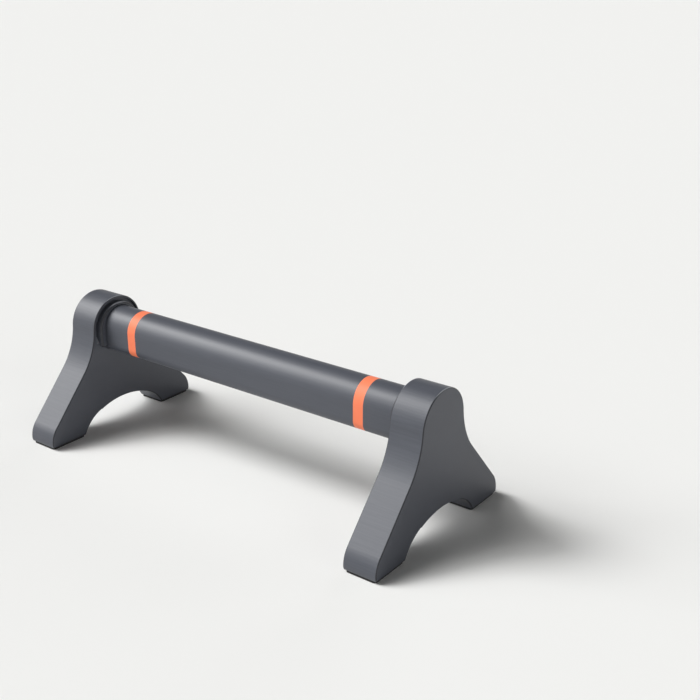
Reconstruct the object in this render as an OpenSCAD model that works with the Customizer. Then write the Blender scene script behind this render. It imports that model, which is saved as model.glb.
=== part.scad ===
// Parallette bar: a low hand bar on two A-shaped end supports.
// The bar runs along X and the origin is on the floor, midway between the four feet.

/* [Overall] */
// Length over the outer faces of the two supports
total_len = 400; // [360:5:460]
// Thickness of a support along the bar
support_t = 31; // [27:1:36]

/* [Support outline] */
// Height of the centre of the round head above the floor
head_z = 98.8; // [90:0.2:120]
// Radius of the round head
head_r = 29.2; // [28.6:0.2:34]
// Radius of the hollow curve between head and leg
waist_r = 66; // [55:1:80]
// Slope of the legs, measured from upright
leg_angle = 41.5; // [38:0.5:44]
// Distance from the middle to the outermost point of a foot
foot_half_w = 88.5; // [84:0.5:100]
// Radius of the rounded heel of a foot
heel_r = 22; // [14:1:26]
// Height of the widest point of the heel above the floor
heel_z = 5.5; // [4:0.5:7]
// Radius of the toe, from the widest point down to the underside
toe_r = 7.5; // [5.5:0.5:10]
// Half the width of the arch at the floor
arch_half_w = 50.5; // [45:0.5:54]
// Height of the crown of the arch above the floor
arch_h = 26; // [22:1:30]
// Radius of the flat middle part of the arch
arch_crown_r = 77; // [67:1:87]
// Radius of the tighter curve on each side of the arch
arch_side_r = 38; // [28:1:44]
// Radius of the rounding of all outer edges
edge_r = 1; // [0.5:0.25:1.5]

/* [Collar and groove] */
// Radius of the collar that stands round the bar
collar_r = 24; // [23:0.25:24.5]
// How far the collar stands out of the inner face
collar_proud = 4; // [3:0.5:6]
// How far the collar reaches down below the centre of the head
collar_drop = 16; // [9:1:18]
// Radius of the lower corners of the collar
collar_corner_r = 4; // [3:0.5:5]
// Radius of the rounding of the outer edge of the collar
collar_edge_r = 2; // [0.5:0.25:2.5]
// Width of the groove round the collar
groove_w = 3.5; // [2:0.25:4]
// Depth of the groove below the inner face
groove_depth = 3; // [2:0.5:9]
// How far the groove reaches down below the centre of the head, on each side
groove_drop = 11.5; // [8:0.5:15]
// Length over which the ends of the groove run out to the face
groove_fade = 6; // [4:0.5:8]

/* [Grip] */
// Radius of the arched top of the grip, half its width
grip_r = 18; // [17:0.25:19]
// Height of the centre of the grip's arch above the centre of the head
grip_rise = 2.7; // [1:0.1:3.2]
// Depth of the underside of the grip below the centre of the head
grip_drop = 20.8; // [18:0.2:24]
// Radius of the lower corners of the grip
grip_corner_r = 9.5; // [6:0.5:10]
// Wall of the hollow grip sleeves
sleeve_wall = 3; // [2.5:0.25:3.5]
// Thickness of the ribs inside the sleeves
rib_t = 2; // [1.5:0.25:3]
// Wall of the hub that rides on the core tube
hub_wall = 1.8; // [1.2:0.2:2.4]
// Length of the centre sleeve
centre_grip_len = 251.5; // [220:0.5:260]
// How deep an end sleeve sits in its support, from the inner face
grip_seat = 8; // [5:0.5:10]

/* [Bands] */
// Width of a coloured band
band_w = 9.8; // [6:0.2:14]
// Length of the lip on each side of a band, inside the sleeve
lip_len = 4; // [2:0.5:6]
// Wall of the lip
lip_wall = 1.4; // [1:0.1:1.6]

/* [Core tube and screws] */
// Outer radius of the core tube
tube_r = 11; // [10:0.25:11.5]
// Wall of the core tube
tube_wall = 2; // [1.5:0.25:2.5]
// Thickness left between the tube's end and the outer face
end_wall = 8; // [5:0.5:10]
// Length of the plug in each end of the tube
plug_len = 26; // [22:1:40]
// Radius of the clamp screw's shank
screw_r = 3; // [2.5:0.25:3]
// Length of the clamp screw's shank
screw_len = 35; // [32:1:36]
// Radius of the screw's head
screw_head_r = 5; // [4.5:0.25:5.5]
// Height of the screw's head
screw_head_h = 6; // [4:0.5:6.5]
// Width across the flats of the socket in the head
hex_af = 5; // [4:0.5:5]
// Outer radius of the washer
washer_r = 6; // [5.75:0.25:6.25]
// Thickness of the washer
washer_t = 1.6; // [1:0.1:2]
// Radius of the access hole that rises from the crown of the arch
access_r = 7; // [6.75:0.25:8]
// Thickness of the web between the washer's seat and the core tube
screw_web = 17; // [15:0.5:19]
// Width across the square nut
nut_w = 10; // [9:0.5:10]
// Thickness of the square nut
nut_t = 5; // [3:0.5:5]

/* [Foot pads] */
// How far a pad stands out below the foot
pad_proud = 2; // [1:0.25:3]
// How deep a pad sits in the foot
pad_sunk = 1; // [0.5:0.25:2]
// Rim of the foot left flat round a pad
pad_rim = 0.4; // [0.3:0.1:1.2]
// Radius of a pad's corners
pad_corner_r = 2.5; // [1:0.5:4]

/* [Clearances] */
// Gap round parts that slide together
slide_gap = 0.1; // [0.05:0.05:0.2]
// Gap round the grip where it enters a support
socket_gap = 0.5; // [0.2:0.05:0.8]
// Gap round the screw in its holes
screw_gap = 0.2; // [0.1:0.05:0.4]

/* [Hidden] */
$fn = 96;
eps = 0.5;

// Faces and stations along the bar
outer_x = total_len / 2;
inner_x = outer_x - support_t;
seat_x = inner_x + grip_seat;
band_x = centre_grip_len / 2;
tube_end_x = outer_x - end_wall;
screw_x = (inner_x + outer_x) / 2;

// Heights of the grip and the collar
grip_arch_z = head_z + grip_rise;
grip_bottom_z = head_z - grip_drop;
collar_bottom_z = head_z - collar_drop;

// The leg line touches the heel circle; normal and downhill directions of the leg
leg_n = [cos(leg_angle), sin(leg_angle)];
leg_d = [sin(leg_angle), -cos(leg_angle)];
head_c = [0, head_z];
heel_c = [foot_half_w - heel_r, heel_z];
heel_touch = heel_c + heel_r * leg_n;
// The waist circle touches the head circle and the leg line
waist_off = heel_touch * leg_n + waist_r - head_c * leg_n;
waist_run = sqrt(pow(head_r + waist_r, 2) - pow(waist_off, 2));
waist_c = head_c + waist_off * leg_n + waist_run * leg_d;
waist_leg = waist_c - waist_r * leg_n;
waist_head = head_c + (waist_c - head_c) * head_r / (head_r + waist_r);
waist_turn = atan2(waist_c[1] - head_z, waist_c[0]);
// The toe takes over from the heel at its widest point
toe_c = [foot_half_w - toe_r, heel_z];
// The arch has a flat crown, and on each side a tighter curve that meets the floor at half its width;
// the triangle of the crown's centre, the side's centre and that point gives the turn of the side
arch_c = [0, arch_h - arch_crown_r];
arch_span = norm([arch_half_w, arch_c[1]]);
arch_step = arch_crown_r - arch_side_r;
arch_turn = atan2(-arch_c[1], arch_half_w) + acos(
    (pow(arch_step, 2) + pow(arch_span, 2) - pow(arch_side_r, 2)) / (2 * arch_step * arch_span)
);
arch_side_c = arch_c + arch_step * [cos(arch_turn), sin(arch_turn)];
arch_touch = arch_c + arch_crown_r * [cos(arch_turn), sin(arch_turn)];
// Curves that run into each other overlap by a hair, so that they cross and never only touch
hair = 0.02;
// How far a cut runs on past the end of its edge, where its neighbour takes over
overrun = 3.3;

// Landing of the foot between the arch and the toe, at the height of its underside
arch_foot_turn = asin((pad_proud - arch_side_c[1]) / arch_side_r);
land_in = arch_side_c[0] + arch_side_r * cos(arch_foot_turn);
land_out = toe_c[0] + sqrt(pow(toe_r, 2) - pow(heel_z - pad_proud, 2));
pad_y0 = land_in + pad_rim;
pad_y1 = land_out - pad_rim;
pad_x0 = inner_x + edge_r + pad_rim;
pad_x1 = outer_x - edge_r - pad_rim;

// Heights of the parts on the clamp screw
tube_z = head_z;
screw_seat_z = tube_z - tube_r - screw_web;
washer_z = screw_seat_z - washer_t;
screw_tip_z = washer_z + screw_len;
nut_z = screw_tip_z - nut_t - 2 * screw_gap;
grip_h = grip_arch_z - grip_bottom_z;

// Stand a drawing of the end view up and give it a length along the bar
module along_x(x0, len) {
    translate([x0, 0, 0])
        rotate([90, 0, 90])
            linear_extrude(height = len)
                children();
}

module on_left() {
    mirror([1, 0, 0]) children();
}

// The upper half of a disc, turned by an angle
module half_disc(r, turn = 0) {
    rotate(turn)
        intersection() {
            circle(r = r);
            translate([-r, 0]) square([2 * r, r]);
        }
}

module rounded_plate(size, r) {
    translate([r, 0]) square([size[0] - 2 * r, size[1]]);
    translate([0, r]) square([size[0], size[1] - 2 * r]);
    for (x = [r, size[0] - r])
        for (y = [r, size[1] - r])
            translate([x, y]) circle(r = r);
}

// One flank of a support: the hollow of the waist, the leg, the heel and the toe
module flank_outline() {
    difference() {
        polygon([
            head_c, waist_head, waist_leg, heel_touch - hair * leg_n, heel_c,
            toe_c, [toe_c[0], pad_proud], [0, pad_proud]
        ]);
        translate(waist_c) circle(r = waist_r + hair, $fn = 240);
    }
    translate(heel_c) half_disc(heel_r);
    translate(toe_c) half_disc(toe_r, 180);
}

// Arch between the feet, drawn with three radii
module arch_outline() {
    intersection() {
        translate(arch_c) circle(r = arch_crown_r, $fn = 240);
        translate([-arch_touch[0], 0]) square([2 * arch_touch[0], 2 * arch_h]);
    }
    for (side = [0, 1])
        mirror([side, 0]) translate(arch_side_c) circle(r = arch_side_r + hair);
}

// End view of a support: round head, two splayed legs, arch
module support_outline() {
    difference() {
        union() {
            translate(head_c) circle(r = head_r);
            for (side = [0, 1])
                mirror([side, 0]) flank_outline();
        }
        translate([-foot_half_w, pad_proud - head_z])
            square([2 * foot_half_w, head_z]);
        arch_outline();
    }
}

// Section of the cut that rounds an edge with radius e, with the edge at the origin
module edge_section(e) {
    translate([-e, -e])
        difference() {
            square(2 * e);
            circle(r = e + hair / 2);
        }
}

// Cut along a bulging round edge between two directions, set out from the edge by a hair or more
module edge_arc(centre, r, from, to, out, e = edge_r) {
    translate(centre)
        rotate(from)
            rotate_extrude(angle = to - from, $fn = 240)
                translate([r + out, 0]) edge_section(e);
}

// The same for a hollow round edge, where the material lies outside the circle
module edge_hollow(centre, r, from, to, out, e = edge_r) {
    translate(centre)
        rotate(from)
            rotate_extrude(angle = to - from, $fn = 240)
                translate([r - out, 0]) mirror([1, 0]) edge_section(e);
}

// Cut along a straight edge that starts at a point and runs in a direction
module edge_line(start, turn, len, out, e = edge_r) {
    translate(start)
        rotate(turn)
            rotate([90, 0, 90])
                linear_extrude(height = len)
                    translate([out, 0]) edge_section(e);
}

// The turn by which a cut of a given radius runs on past its end
function past(r) = overrun / r * 180 / PI;

// All cuts that round the edge of one face of a support, in the end view
module face_edges() {
    edge_arc(head_c, head_r, waist_turn, 180 - waist_turn, hair);
    edge_hollow(arch_c, arch_crown_r, arch_turn, 180 - arch_turn, hair);
    for (side = [0, 1])
        mirror([side, 0, 0]) {
            edge_hollow(
                waist_c, waist_r,
                180 + waist_turn - past(waist_r), 180 + leg_angle + past(waist_r), 0
            );
            edge_line(
                waist_leg, leg_angle - 90, norm(heel_touch - waist_leg) + overrun, hair
            );
            edge_arc(heel_c, heel_r, -past(heel_r), leg_angle, 2 * hair);
            edge_arc(toe_c, toe_r, -90, 0, 3 * hair);
            edge_line(
                [land_out + overrun, pad_proud], 180, land_out - land_in + 2 * overrun, 0
            );
            edge_hollow(
                arch_side_c, arch_side_r,
                arch_foot_turn - past(arch_side_r), arch_turn + past(arch_side_r), 0
            );
        }
}

// All cuts that round the outer edge of the collar, in the end view
module collar_edges() {
    corner_c = [collar_r - collar_corner_r, collar_bottom_z + collar_corner_r];
    edge_arc(head_c, collar_r, 0, 180, hair, collar_edge_r);
    for (side = [0, 1])
        mirror([side, 0, 0]) {
            edge_line(
                [collar_r, head_z + overrun], -90,
                head_z - corner_c[1] + 2 * overrun, 0, collar_edge_r
            );
            edge_arc(corner_c, collar_corner_r, -90, 0, hair, collar_edge_r);
        }
    edge_line(
        [corner_c[0] + overrun, collar_bottom_z], 180,
        2 * (corner_c[0] + overrun), 0, collar_edge_r
    );
}

// Collar round the bar: an arch with upright sides and rounded lower corners
module collar_outline() {
    intersection() {
        union() {
            translate(head_c) circle(r = collar_r);
            translate([-collar_r, collar_bottom_z]) square([2 * collar_r, collar_drop]);
        }
        translate([-collar_r, collar_bottom_z])
            rounded_plate([2 * collar_r, collar_drop + 2 * collar_r], collar_corner_r);
    }
}

// Groove that follows the collar over the top and down both sides
module groove_outline() {
    translate(head_c)
        difference() {
            half_disc(collar_r + groove_w);
            circle(r = collar_r);
        }
    for (side = [0, 1])
        mirror([side, 0])
            translate([collar_r, head_z - groove_drop - overrun])
                square([groove_w, groove_drop + overrun]);
}

// Slope that lifts the ends of the groove out to the face
module groove_run_out() {
    slope = atan2(groove_depth, groove_fade);
    translate([inner_x, 0, head_z - groove_drop])
        rotate([0, slope, 0])
            translate([0, -head_r, -groove_drop])
                cube([groove_depth * 3, 2 * head_r, groove_drop * 2]);
}

// Outline of the grip: arched top, upright sides, rounded lower corners
module grip_outline(grow = 0) {
    translate([0, grip_arch_z]) circle(r = grip_r + grow);
    translate([-grip_r - grow, grip_bottom_z + grip_corner_r])
        square([2 * (grip_r + grow), grip_h - grip_corner_r]);
    translate([-grip_r + grip_corner_r, grip_bottom_z - grow])
        square([2 * (grip_r - grip_corner_r), grip_h + grow]);
    for (side = [-1, 1])
        translate([side * (grip_r - grip_corner_r), grip_bottom_z + grip_corner_r])
            circle(r = grip_corner_r + grow);
}

// Hub and six ribs that carry a sleeve on the core tube
module sleeve_core_outline() {
    hub_r = tube_r + slide_gap + hub_wall;
    difference() {
        intersection() {
            grip_outline(-sleeve_wall / 2);
            translate([0, tube_z]) {
                circle(r = hub_r);
                for (turn = [30 : 60 : 330])
                    rotate(turn)
                        translate([0, -rib_t / 2])
                            square([2 * grip_r, rib_t]);
            }
        }
        translate([0, tube_z]) circle(r = tube_r + slide_gap);
    }
}

// A hollow sleeve from x0 to x1, with its ribs set back at the banded ends
module grip_sleeve(x0, x1, back0, back1) {
    along_x(x0, x1 - x0)
        difference() {
            grip_outline();
            grip_outline(-sleeve_wall);
        }
    along_x(x0 + back0, x1 - x0 - back0 - back1)
        sleeve_core_outline();
}

// Plan of the right front or rear pad, drawn for the rear foot
module pad_plan(grow = 0) {
    translate([pad_x0 - grow, pad_y0 - grow])
        rounded_plate(
            [pad_x1 - pad_x0 + 2 * grow, pad_y1 - pad_y0 + 2 * grow],
            pad_corner_r + grow
        );
}

module support() {
    difference() {
        union() {
            along_x(inner_x, support_t) support_outline();
            along_x(inner_x - collar_proud, collar_proud + eps) collar_outline();
        }
        translate([outer_x, 0, 0]) rotate([90, 0, 90]) face_edges();
        translate([inner_x, 0, 0]) mirror([1, 0, 0]) rotate([90, 0, 90]) face_edges();
        translate([inner_x - collar_proud, 0, 0])
            mirror([1, 0, 0]) rotate([90, 0, 90]) collar_edges();
        difference() {
            along_x(inner_x - eps, groove_depth + eps) groove_outline();
            groove_run_out();
        }
        // Socket for the grip, then the bore for the core tube
        along_x(inner_x - collar_proud - eps, grip_seat + collar_proud + eps)
            grip_outline(socket_gap);
        along_x(inner_x, tube_end_x + slide_gap - inner_x)
            translate([0, tube_z]) circle(r = tube_r + slide_gap);
        // Access hole and screw hole, up from the crown of the arch
        translate([screw_x, 0, arch_h / 2])
            cylinder(r = access_r, h = screw_seat_z - arch_h / 2);
        translate([screw_x, 0, screw_seat_z - eps])
            cylinder(r = screw_r + screw_gap, h = tube_z - screw_seat_z);
        // Recesses for the two pads
        for (side = [0, 1])
            mirror([0, side, 0])
                translate([0, 0, pad_proud - eps])
                    linear_extrude(height = pad_sunk + eps)
                        pad_plan(slide_gap);
    }
}

module right_support() {
    color([0.36, 0.38, 0.41]) support();
}

module left_support() {
    color([0.36, 0.38, 0.41]) on_left() support();
}

module centre_grip() {
    back = lip_len + slide_gap;
    color([0.34, 0.36, 0.39]) grip_sleeve(-band_x, band_x, back, back);
}

module end_grip() {
    color([0.34, 0.36, 0.39])
        grip_sleeve(band_x + band_w, seat_x - slide_gap, lip_len + slide_gap, 0);
}

module right_end_grip() {
    end_grip();
}

module left_end_grip() {
    on_left() end_grip();
}

// Ring flush with the grip, with a lip inside the sleeve on each side
module band() {
    lip_out = -sleeve_wall - slide_gap;
    lip_in = lip_out - lip_wall;
    color([0.95, 0.45, 0.28]) {
        along_x(band_x, band_w)
            difference() {
                grip_outline();
                grip_outline(lip_in);
            }
        along_x(band_x - lip_len, band_w + 2 * lip_len)
            difference() {
                grip_outline(lip_out);
                grip_outline(lip_in);
            }
    }
}

module right_band() {
    band();
}

module left_band() {
    on_left() band();
}

module core_tube() {
    color([0.7, 0.71, 0.73])
        difference() {
            along_x(-tube_end_x, 2 * tube_end_x)
                translate([0, tube_z])
                    difference() {
                        circle(r = tube_r);
                        circle(r = tube_r - tube_wall);
                    }
            for (side = [-1, 1])
                translate([side * screw_x, 0, tube_z - 2 * tube_r])
                    cylinder(r = screw_r + screw_gap, h = 2 * tube_r);
        }
}

// Plug that fills the tube's end; a square nut slides in from the end
module tube_plug() {
    plug_r = tube_r - tube_wall - slide_gap;
    slot = nut_w + 2 * slide_gap;
    color([0.15, 0.15, 0.16])
        difference() {
            along_x(tube_end_x - plug_len, plug_len)
                translate([0, tube_z]) circle(r = plug_r);
            translate([screw_x, 0, tube_z - 2 * plug_r])
                cylinder(r = screw_r + screw_gap, h = screw_tip_z + 2 * plug_r + screw_gap - tube_z);
            translate([screw_x - slot / 2, -slot / 2, nut_z - slide_gap])
                cube([tube_end_x - screw_x + slot / 2 + eps, slot, nut_t + 2 * slide_gap]);
        }
}

module right_tube_plug() {
    tube_plug();
}

module left_tube_plug() {
    on_left() tube_plug();
}

module clamp_screws() {
    color([0.2, 0.2, 0.21])
        for (side = [-1, 1])
            translate([side * screw_x, 0, washer_z])
                difference() {
                    union() {
                        cylinder(r = screw_r, h = screw_len);
                        translate([0, 0, -screw_head_h])
                            cylinder(r = screw_head_r, h = screw_head_h);
                    }
                    translate([0, 0, -screw_head_h - eps])
                        cylinder(r = hex_af / sqrt(3), h = screw_head_h / 2 + eps, $fn = 6);
                }
}

module screw_washers() {
    color([0.75, 0.76, 0.78])
        for (side = [-1, 1])
            translate([side * screw_x, 0, washer_z])
                difference() {
                    cylinder(r = washer_r, h = washer_t);
                    translate([0, 0, -eps])
                        cylinder(r = screw_r + screw_gap, h = washer_t + 2 * eps);
                }
}

module square_nuts() {
    color([0.75, 0.76, 0.78])
        for (side = [-1, 1])
            translate([side * screw_x, 0, nut_z])
                difference() {
                    translate([-nut_w / 2, -nut_w / 2, 0]) cube([nut_w, nut_w, nut_t]);
                    translate([0, 0, -eps])
                        cylinder(r = screw_r + slide_gap / 2, h = nut_t + 2 * eps);
                }
}

// A pad fills its recess and stands on the floor
module pad(left, front) {
    color([0.05, 0.05, 0.055])
        mirror([left, 0, 0])
            mirror([0, front, 0])
                linear_extrude(height = pad_proud + pad_sunk)
                    pad_plan();
}

module left_front_pad() {
    pad(1, 1);
}

module left_rear_pad() {
    pad(1, 0);
}

module right_front_pad() {
    pad(0, 1);
}

module right_rear_pad() {
    pad(0, 0);
}

left_support();
right_support();
centre_grip();
left_end_grip();
right_end_grip();
left_band();
right_band();
core_tube();
left_tube_plug();
right_tube_plug();
clamp_screws();
screw_washers();
square_nuts();
left_front_pad();
left_rear_pad();
right_front_pad();
right_rear_pad();
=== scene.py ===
# %% [markdown]
# # A low parallette bar
#
# A parallette is a low hand bar for push-ups and handstands. This one has a grip with an arched top
# and a flat underside. Two orange bands mark where the hands go, and the ends sit in moulded
# A-shaped supports that stand on rubber pads.
#
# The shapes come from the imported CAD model, which is loaded as a fixed frame. They are right as
# they are, so nothing is modelled again here. This script adds what CAD doesn't hold: the finish of
# each piece, the floor, the light and the camera.

import math

import bmesh
import bpy
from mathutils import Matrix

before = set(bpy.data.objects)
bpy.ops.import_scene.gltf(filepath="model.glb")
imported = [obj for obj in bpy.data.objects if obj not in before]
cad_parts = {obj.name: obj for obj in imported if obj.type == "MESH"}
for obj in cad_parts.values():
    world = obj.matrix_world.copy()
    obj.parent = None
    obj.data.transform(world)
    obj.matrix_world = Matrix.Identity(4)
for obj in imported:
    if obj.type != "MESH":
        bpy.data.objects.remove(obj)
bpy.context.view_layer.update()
MM = 0.001
print("CAD pieces:", sorted(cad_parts))

# %% [markdown]
# ## The camera
#
# The camera stands where the photographer's did. Its place and lens were found by matching corners
# and curves of the CAD model to the same points in the picture, so the render and the picture
# can be laid over each other. The picture is square, so the sensor's width alone sets the angle.

# %% Place the camera
CAMERA_PLACE = (0.60305, -0.65508, 0.45898)
CAMERA_TURN = (1.1985, 0.0, 0.6459)
LENS_MM = 56.467
SENSOR_MM = 36.0

lens = bpy.data.cameras.new("photo_camera")
lens.sensor_width = SENSOR_MM
lens.lens = LENS_MM
camera = bpy.data.objects.new("photo_camera", lens)
camera.location = CAMERA_PLACE
camera.rotation_euler = CAMERA_TURN
bpy.context.collection.objects.link(camera)
bpy.context.scene.camera = camera
bpy.context.scene.view_settings.view_transform = "Standard"
print("Angle of view:", round(math.degrees(2 * math.atan(SENSOR_MM / 2 / LENS_MM)), 1), "degrees")

# %% [markdown]
# ## Writing shader nodes as sums
#
# A finish is a small network of nodes. Wiring each Math node by hand is slow to write and hard to
# read, so a `Wire` wraps one socket and turns +, - and * into Math nodes. The reflected forms, such
# as `__radd__`, let a plain number come first.

# %% Wires
class Wire:
    """The output of a node, which can be added, multiplied and so on."""

    def __init__(self, network, socket):
        self.network = network
        self.socket = socket

    def maths(self, operation, *values):
        inputs = dict(enumerate(values))
        return self.network.node("ShaderNodeMath", {"operation": operation}, inputs)

    def __add__(self, other):
        return self.maths("ADD", self, other)

    def __radd__(self, other):
        return self.maths("ADD", other, self)

    def __sub__(self, other):
        return self.maths("SUBTRACT", self, other)

    def __rsub__(self, other):
        return self.maths("SUBTRACT", other, self)

    def __mul__(self, other):
        return self.maths("MULTIPLY", self, other)

    def __rmul__(self, other):
        return self.maths("MULTIPLY", other, self)

    def __abs__(self):
        return self.maths("ABSOLUTE", self)

    def or_larger(self, other):
        return self.maths("MAXIMUM", self, other)

    def between(self, low, high):
        """Rises smoothly from 0 at low to 1 at high, or falls when high is the smaller."""
        ends = {"Value": self, "From Min": low, "From Max": high}
        return self.network.node("ShaderNodeMapRange", {"interpolation_type": "SMOOTHSTEP"}, ends)


print("A Wire takes +, -, * and abs()")

# %% [markdown]
# ## Making any other node
#
# A `Network` makes a node of any kind with one method. It applies the settings first and the
# sockets second, because a setting can change which sockets a node has. A Mix node has a socket A
# and a socket B for each type of data, all with the same names, so its colour sockets go by number.

# %% Networks
COLOUR_A, COLOUR_B, COLOUR_OUT = 6, 7, 2


class Network:
    """A node tree, of a material or of the world."""

    def __init__(self, tree):
        self.tree = tree

    def feed(self, socket, value):
        """Links a wire to a socket, or sets the socket when the value is plain."""
        if isinstance(value, Wire):
            self.tree.links.new(value.socket, socket)
        else:
            socket.default_value = value

    def node(self, kind, settings=None, inputs=None, output=0):
        """Adds a node and gives one of its outputs, if it has any."""
        made = self.tree.nodes.new(kind)
        for key, value in (settings or {}).items():
            setattr(made, key, value)
        for key, value in (inputs or {}).items():
            self.feed(made.inputs[key], value)
        return Wire(self, made.outputs[output]) if made.outputs else None

    def split(self, vector):
        """The X, Y and Z of a vector, as three wires."""
        separate = self.node("ShaderNodeSeparateXYZ", inputs={"Vector": vector}).socket.node
        return [Wire(self, socket) for socket in separate.outputs]

    def blend(self, amount, first, second):
        """Goes from the first colour to the second as the amount goes from 0 to 1."""
        ends = {"Factor": amount, COLOUR_A: first, COLOUR_B: second}
        return self.node("ShaderNodeMix", {"data_type": "RGBA"}, ends, COLOUR_OUT)


print("Colour sockets of a Mix node: inputs", COLOUR_A, "and", COLOUR_B, "output", COLOUR_OUT)

# %% [markdown]
# ## Finishes
#
# A `Finish` is the network of one material. Numbers that are the same all over the surface are set
# on the Principled shader itself. Patterns read Object coordinates, so they stay with the piece.
# All patterns are calculated, because an image would blur close up and need the surface laid flat.

# %% Finishes
NOISE_LOW, NOISE_HIGH = 0.3, 0.7  # most of a noise lies between these


class Finish(Network):
    """One material, with its Principled shader."""

    def __init__(self, name, **numbers):
        self.material = bpy.data.materials.new(name)
        self.material.use_nodes = True
        super().__init__(self.material.node_tree)
        self.shader = self.tree.nodes["Principled BSDF"]
        for socket, value in numbers.items():
            self.feed(self.shader.inputs[socket.replace("_", " ")], value)

    def place(self):
        return self.node("ShaderNodeTexCoord", output="Object")

    def facing(self):
        """The direction that the surface faces, split into X, Y and Z."""
        return self.split(self.node("ShaderNodeTexCoord", output="Normal"))

    def along_x(self, vector, shrink):
        """Draws a pattern out along the bar, so that spots become streaks."""
        scale = {"Vector": vector, "Scale": (shrink, 1.0, 1.0)}
        return self.node("ShaderNodeMapping", inputs=scale)

    def noise(self, vector, per_metre, detail=2.0):
        """Soft spots, so many to a metre, with smaller ones inside them for more detail."""
        inputs = {"Vector": vector, "Scale": per_metre, "Detail": detail}
        return self.node("ShaderNodeTexNoise", inputs=inputs)

    def colour(self, value):
        self.feed(self.shader.inputs["Base Color"], value)

    def roughness(self, value):
        self.feed(self.shader.inputs["Roughness"], value)

    def grain(self, height, depth):
        """Raises the surface by a height that goes from 0 to 1 over the depth in metres."""
        bump = self.node("ShaderNodeBump", inputs={"Height": height, "Distance": depth})
        self.feed(self.shader.inputs["Normal"], bump)


print("Two-tone noise goes from the first colour at", NOISE_LOW, "to the second at", NOISE_HIGH)

# %% [markdown]
# ## Colours
#
# A colour is easiest to judge as a screen shows it, from 0 to 255, but nodes take linear light.
# `screen` turns the one into the other, with the curve of the sRGB standard.

# %% Colours as a screen shows them
def screen(red, green, blue):
    """The linear colour of a screen's red, green and blue, 0 to 255."""

    def linear(part):
        part = part / 255
        return part / 12.92 if part <= 0.04045 else ((part + 0.055) / 1.055) ** 2.4

    return (linear(red), linear(green), linear(blue), 1.0)


print("Mid grey in linear light:", [round(part, 3) for part in screen(128, 128, 128)[:3]])

# %% [markdown]
# ## Slate plastic of the supports
#
# The supports are injection moulded in a dark slate grey. The mould was spark eroded, which leaves
# a fine even grain, so the plastic is satin and not glossy. Clouds of a slightly lighter grey, a
# few centimetres across, keep it from looking painted. The grain will be a bump, because it is far
# finer than any edge that is worth modelling.

# %% Greys and grain of the supports
SATIN = {"IOR": 1.46, "Specular_IOR_Level": 0.55}
SLATE = screen(76, 79, 87)
SLATE_LIGHT = screen(79, 82, 90)
PORES_PER_METRE = 2600.0
CLOUDS_PER_METRE = 38.0

moulded = Finish("moulded_slate", **SATIN)
place = moulded.place()
pores = moulded.noise(place, PORES_PER_METRE)
clouds = moulded.noise(place, CLOUDS_PER_METRE, detail=3.0)
plain = moulded.blend(clouds.between(0.35, 0.65), SLATE, SLATE_LIGHT)
print("Millimetres from pore to pore:", round(1 / PORES_PER_METRE / MM, 2))
print("Millimetres from cloud to cloud:", round(1 / CLOUDS_PER_METRE / MM))

# %% [markdown]
# The surfaces that run round the outline of a support also show faint lines across them, left by
# the cutter that made the mould. Noise that is drawn out along X gives such lines. A mask keeps
# them off the flat end faces. It needs no map of the piece: only the end faces look along X.

# %% Lines of the cutter
LINE_DARK = screen(71, 74, 82)
LINE_LIGHT = screen(84, 87, 95)
LINES_PER_METRE = 700.0
LINE_STRENGTH = 0.4

face_x, face_y, face_z = moulded.facing()
side_x = abs(face_x)  # 0 on the surfaces round the outline, 1 on the end faces
off_end_faces = side_x.between(0.9, 0.5)
cutter_lines = moulded.noise(moulded.along_x(place, 0.03), LINES_PER_METRE)
lined = moulded.blend(cutter_lines.between(NOISE_LOW, NOISE_HIGH), LINE_DARK, LINE_LIGHT)
tone = moulded.blend(LINE_STRENGTH * off_end_faces, plain, lined)
print("Millimetres from line to line:", round(1 / LINES_PER_METRE / MM, 1))

# %% [markdown]
# The rounded edges of the end faces get painted light and shade in their colour. Down the legs and
# round the arch a painted shade makes them darker. Over the top a painted highlight makes them
# lighter. Both follow from the way the surface faces: a rounded edge looks partly along X, and over
# the top it looks more upwards than forwards or back.

# %% Painted shade and painted highlight on the edges
# Colour of the painted shade on the rounded edges, then that of the painted highlight over the top.
SLATE_PAINTED_SHADE = screen(38, 40, 46)
SLATE_PAINTED_HIGHLIGHT = screen(172, 175, 181)
PAINTED_SHADE_STRENGTH = 0.9
PAINTED_HIGHLIGHT_STRENGTH = 0.8

rounded = side_x.between(0.15, 0.4) * side_x.between(0.999, 0.975)
over_top = face_z - abs(face_y)  # above 0 where the surface looks mostly upwards
# Painted shade: the rounded edges down the legs and round the arch are made darker.
painted_shade_edge = PAINTED_SHADE_STRENGTH * rounded * over_top.between(0.4, 0.2)
# Painted highlight: the rounded edges over the top are made lighter.
painted_highlight_edge = PAINTED_HIGHLIGHT_STRENGTH * rounded * over_top.between(0.35, 0.6)
tone = moulded.blend(painted_shade_edge, tone, SLATE_PAINTED_SHADE)
moulded.colour(moulded.blend(painted_highlight_edge, tone, SLATE_PAINTED_HIGHLIGHT))
print("Nodes in the supports' finish so far:", len(moulded.tree.nodes))

# %% [markdown]
# The same noises also change how light falls on the plastic. Clouds and lines go into its
# roughness, pores and lines into its bump. The finish then goes on both supports, in place of what
# the CAD model gave them.

# %% Finish of the supports
def dress(finish, *names):
    """Makes a finish the only material of some CAD pieces."""
    for name in names:
        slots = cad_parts[name].data.materials
        slots.clear()
        slots.append(finish.material)
    print(finish.material.name, "on", ", ".join(names))


moulded.roughness(0.42 + 0.05 * clouds + 0.04 * cutter_lines * off_end_faces)
moulded.grain(pores + 1.1 * cutter_lines * off_end_faces, 0.04 * MM)
dress(moulded, "left_support", "right_support")

# %% [markdown]
# ## Slate plastic of the grips
#
# The grip sleeves are extruded, so their faint marks run along the bar. The noise is drawn out
# along X for them, as for the cutter's lines. The greys are those of the supports.

# %% Finish of the grips
STREAKS_PER_METRE = 900.0

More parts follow.
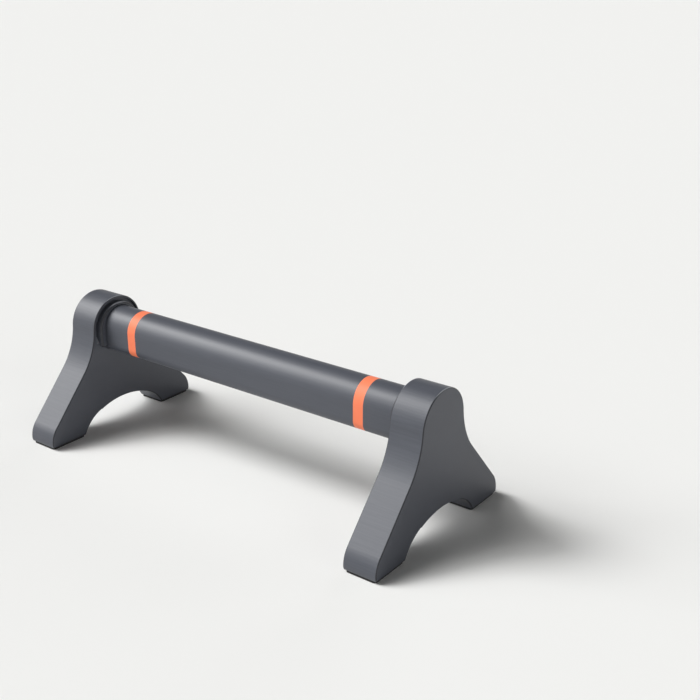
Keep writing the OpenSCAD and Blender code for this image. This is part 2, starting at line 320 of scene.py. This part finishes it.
extruded = Finish("extruded_slate", **SATIN)
place = extruded.place()
streaks = extruded.noise(extruded.along_x(place, 0.04), STREAKS_PER_METRE)
pores = extruded.noise(place, PORES_PER_METRE)
extruded.colour(extruded.blend(streaks.between(NOISE_LOW, NOISE_HIGH), SLATE, SLATE_LIGHT))
extruded.roughness(0.435 + 0.05 * streaks)
extruded.grain(0.7 * pores + 0.3 * streaks, 0.03 * MM)
dress(extruded, "centre_grip", "left_end_grip", "right_end_grip")

# %% [markdown]
# ## Orange bands
#
# The bands are a bright orange plastic. Their surface is duller than the grip's, so the gloss that
# runs along the bar is weaker on them. That takes a lower specular level, not more roughness, which
# would spread the gloss out. Faint clouds keep the colour from looking painted.

# %% Finish of the bands
ORANGE = screen(250, 133, 95)
ORANGE_LIGHT = screen(253, 137, 99)

orange = Finish("orange_plastic", IOR=1.46, Specular_IOR_Level=0.22)
place = orange.place()
pores = orange.noise(place, PORES_PER_METRE)
clouds = orange.noise(place, 60.0)
orange.colour(orange.blend(clouds.between(NOISE_LOW, NOISE_HIGH), ORANGE, ORANGE_LIGHT))
orange.roughness(0.44 + 0.05 * clouds)
orange.grain(pores, 0.03 * MM)
dress(orange, "left_band", "right_band")

# %% [markdown]
# ## Rubber pads
#
# The pads are black rubber. Rubber scatters light at every angle, so it is rough, and its surface
# is finely pitted. Its black is a dark grey, because pure black shows no shape at all.

# %% Finish of the pads
RUBBER = screen(20, 20, 21)
RUBBER_LIGHT = screen(30, 30, 31)

rubber = Finish("black_rubber", IOR=1.5)
pits = rubber.noise(rubber.place(), 1500.0, detail=3.0)
rubber.colour(rubber.blend(pits.between(NOISE_LOW, NOISE_HIGH), RUBBER, RUBBER_LIGHT))
rubber.roughness(0.72 + 0.1 * pits)
rubber.grain(pits, 0.1 * MM)
dress(rubber, "left_front_pad", "left_rear_pad", "right_front_pad", "right_rear_pad")

# %% [markdown]
# ## The joint inside
#
# A steel tube carries the load, and a screw in each support clamps it. They show only when the bar
# is taken apart or cut open, but they get a finish like the rest. Drawn tube has fine lines along
# it, so its noise is drawn out along X.

# %% Finish of the tube
drawn = Finish("drawn_steel", Metallic=1.0)
lines = drawn.noise(drawn.along_x(drawn.place(), 0.03), 1800.0)
drawn.colour(drawn.blend(lines, screen(165, 167, 170), screen(196, 198, 200)))
drawn.roughness(0.26 + 0.14 * lines)
drawn.grain(lines, 0.02 * MM)
dress(drawn, "core_tube")

# %% [markdown]
# Washers and nuts are zinc plated. Zinc grows in small crystals, and Voronoi cells, which are
# darker in the middle, look like them. The screws are blackened and the plugs in the tube's ends
# are black plastic, and both are only faintly clouded.

# %% Finishes of the small parts
plated = Finish("zinc_plate", Metallic=1.0)
cells = {"Vector": plated.place(), "Scale": 700.0}
spangle = plated.node("ShaderNodeTexVoronoi", inputs=cells)
plated.colour(plated.blend(spangle, screen(186, 189, 192), screen(208, 210, 212)))
plated.roughness(0.3 + 0.12 * spangle)
dress(plated, "screw_washers", "square_nuts")

blackened = Finish("black_oxide", Metallic=1.0)
soot = blackened.noise(blackened.place(), 900.0)
blackened.colour(blackened.blend(soot, screen(46, 46, 48), screen(62, 62, 64)))
blackened.roughness(0.38 + 0.12 * soot)
dress(blackened, "clamp_screws")

plug_black = Finish("plug_plastic", IOR=1.46, Specular_IOR_Level=0.4)
haze = plug_black.noise(plug_black.place(), 300.0)
plug_black.colour(plug_black.blend(haze, screen(34, 34, 36), screen(44, 44, 46)))
plug_black.roughness(0.45 + 0.1 * haze)
dress(plug_black, "left_tube_plug", "right_tube_plug")

# %% [markdown]
# ## The floor
#
# The bar stands on a plain pale floor, large enough that its edge is never in view. It only catches
# shadows and isn't part of the object. It lies a hair below the pads, because two faces in one
# plane flicker.

# %% Make the floor
FLOOR_SIZE = 30.0
FLOOR_DROP = 0.2 * MM
FLOOR_COLOUR = (0.845, 0.845, 0.829, 1.0)

shape = bmesh.new()
bmesh.ops.create_grid(shape, x_segments=1, y_segments=1, size=FLOOR_SIZE / 2)
bmesh.ops.translate(shape, vec=(0, 0, -FLOOR_DROP), verts=shape.verts)
mesh = bpy.data.meshes.new("floor")
shape.to_mesh(mesh)
shape.free()
floor = bpy.data.objects.new("floor", mesh)
bpy.context.collection.objects.link(floor)

paper = Finish("pale_floor", Roughness=1.0, Specular_IOR_Level=0.0)
paper.colour(FLOOR_COLOUR)
mesh.materials.append(paper.material)
print("Floor:", FLOOR_SIZE, "m wide")

# %% [markdown]
# ## The light
#
# One large softbox stood to the left and in front of the bar. Two weak lamps behind the bar and one
# on the right fill the shade. They stand low, so they reach the sides of the bar and leave its
# shadow on the floor dark. Where they stand was worked out from the shadows on the floor, the
# gloss along the grip and the tones of the shaded sides.
#
# Sun lamps with a wide angle stand in for them here. A sun is equally strong everywhere, so the
# floor stays one even white out to the edge of the picture, and the wide angle softens the shadows.
# Seven suns side by side make up the broad face of the softbox.

# %% Light the bar
LAMPS = [  # name, turn, height, strength, width
    ("softbox_left", -112, 45, 1.60, 20),
    ("softbox_left_low", -112, 28, 0.52, 24),
    ("softbox_left_high", -112, 62, 0.27, 24),
    ("softbox_middle", -130, 45, 0.80, 20),
    ("softbox_middle_low", -130, 28, 0.70, 20),
    ("softbox_middle_high", -130, 62, 0.36, 20),
    ("softbox_front", -155, 26, 0.22, 24),
    ("rear_left_lamp", -8, 22, 0.24, 26),
    ("rear_right_lamp", 35, 26, 0.16, 20),
    ("right_lamp", 100, 18, 0.45, 40),
]


def sun(name, turn, height, strength, width):
    """Turn goes from the back to the right, height is above the floor, all in degrees."""
    lamp = bpy.data.lights.new(name, "SUN")
    lamp.energy = strength
    lamp.angle = math.radians(width)
    made = bpy.data.objects.new(name, lamp)
    made.rotation_euler = (math.radians(90 - height), 0.0, math.radians(180 - turn))
    bpy.context.collection.objects.link(made)


for lamp in LAMPS:
    sun(*lamp)
floor_light = sum(strength * math.sin(math.radians(height)) for _, _, height, strength, _ in LAMPS)
print("Lamps:", len(LAMPS), "light on the floor:", round(floor_light / math.pi, 2))

# %% [markdown]
# ## The backdrop
#
# The world is seen in two ways. The camera, and gloss that looks level, see a backdrop as pale as
# the floor. Gloss that looks up sees it darken towards the ceiling, as in a studio, which keeps the
# top of the grip from looking dusty.

# %% Paint the backdrop
PAPER_WHITE = (0.896, 0.896, 0.879, 1.0)
CEILING = (0.05, 0.05, 0.05, 1.0)
PALE_BELOW, DARK_ABOVE = 0.08, 0.35  # how steeply a ray climbs: 0 is level, 1 is straight up

world = bpy.data.worlds.new("studio")
world.use_nodes = True
bpy.context.scene.world = world
room = Network(world.node_tree)
room.tree.nodes.clear()

camera_ray = room.node("ShaderNodeLightPath", output="Is Camera Ray")
upwards = room.split(room.node("ShaderNodeTexCoord", output="Generated"))[2]
pale = camera_ray.or_larger(upwards.between(DARK_ABOVE, PALE_BELOW))
backdrop = room.blend(pale, CEILING, PAPER_WHITE)
print("Gloss sees the ceiling above", round(math.degrees(math.asin(DARK_ABOVE))), "degrees")

# %% [markdown]
# ## The room's own light
#
# The room also sends a little light from all round. It is kept apart from the backdrop, because a
# backdrop that lit the bar as brightly as it looks would wash out the shadows. So the backdrop
# shows only to the camera, to gloss and through clear things.

# %% Make the room
ROOM_WHITE = (1.0, 1.0, 1.0, 1.0)
ROOM_LIGHT = 0.02

glossy_ray = room.node("ShaderNodeLightPath", output="Is Glossy Ray")
clear_ray = room.node("ShaderNodeLightPath", output="Is Transmission Ray")
lit = {"Color": ROOM_WHITE, "Strength": ROOM_LIGHT}
seen = {"Color": backdrop, "Strength": 1.0}
shaders = {
    "Fac": camera_ray.or_larger(glossy_ray.or_larger(clear_ray)),
    1: room.node("ShaderNodeBackground", inputs=lit),
    2: room.node("ShaderNodeBackground", inputs=seen),
}
mixed = room.node("ShaderNodeMixShader", inputs=shaders)
room.node("ShaderNodeOutputWorld", inputs={"Surface": mixed})
print("World:", world.name, "with", len(room.tree.nodes), "nodes")
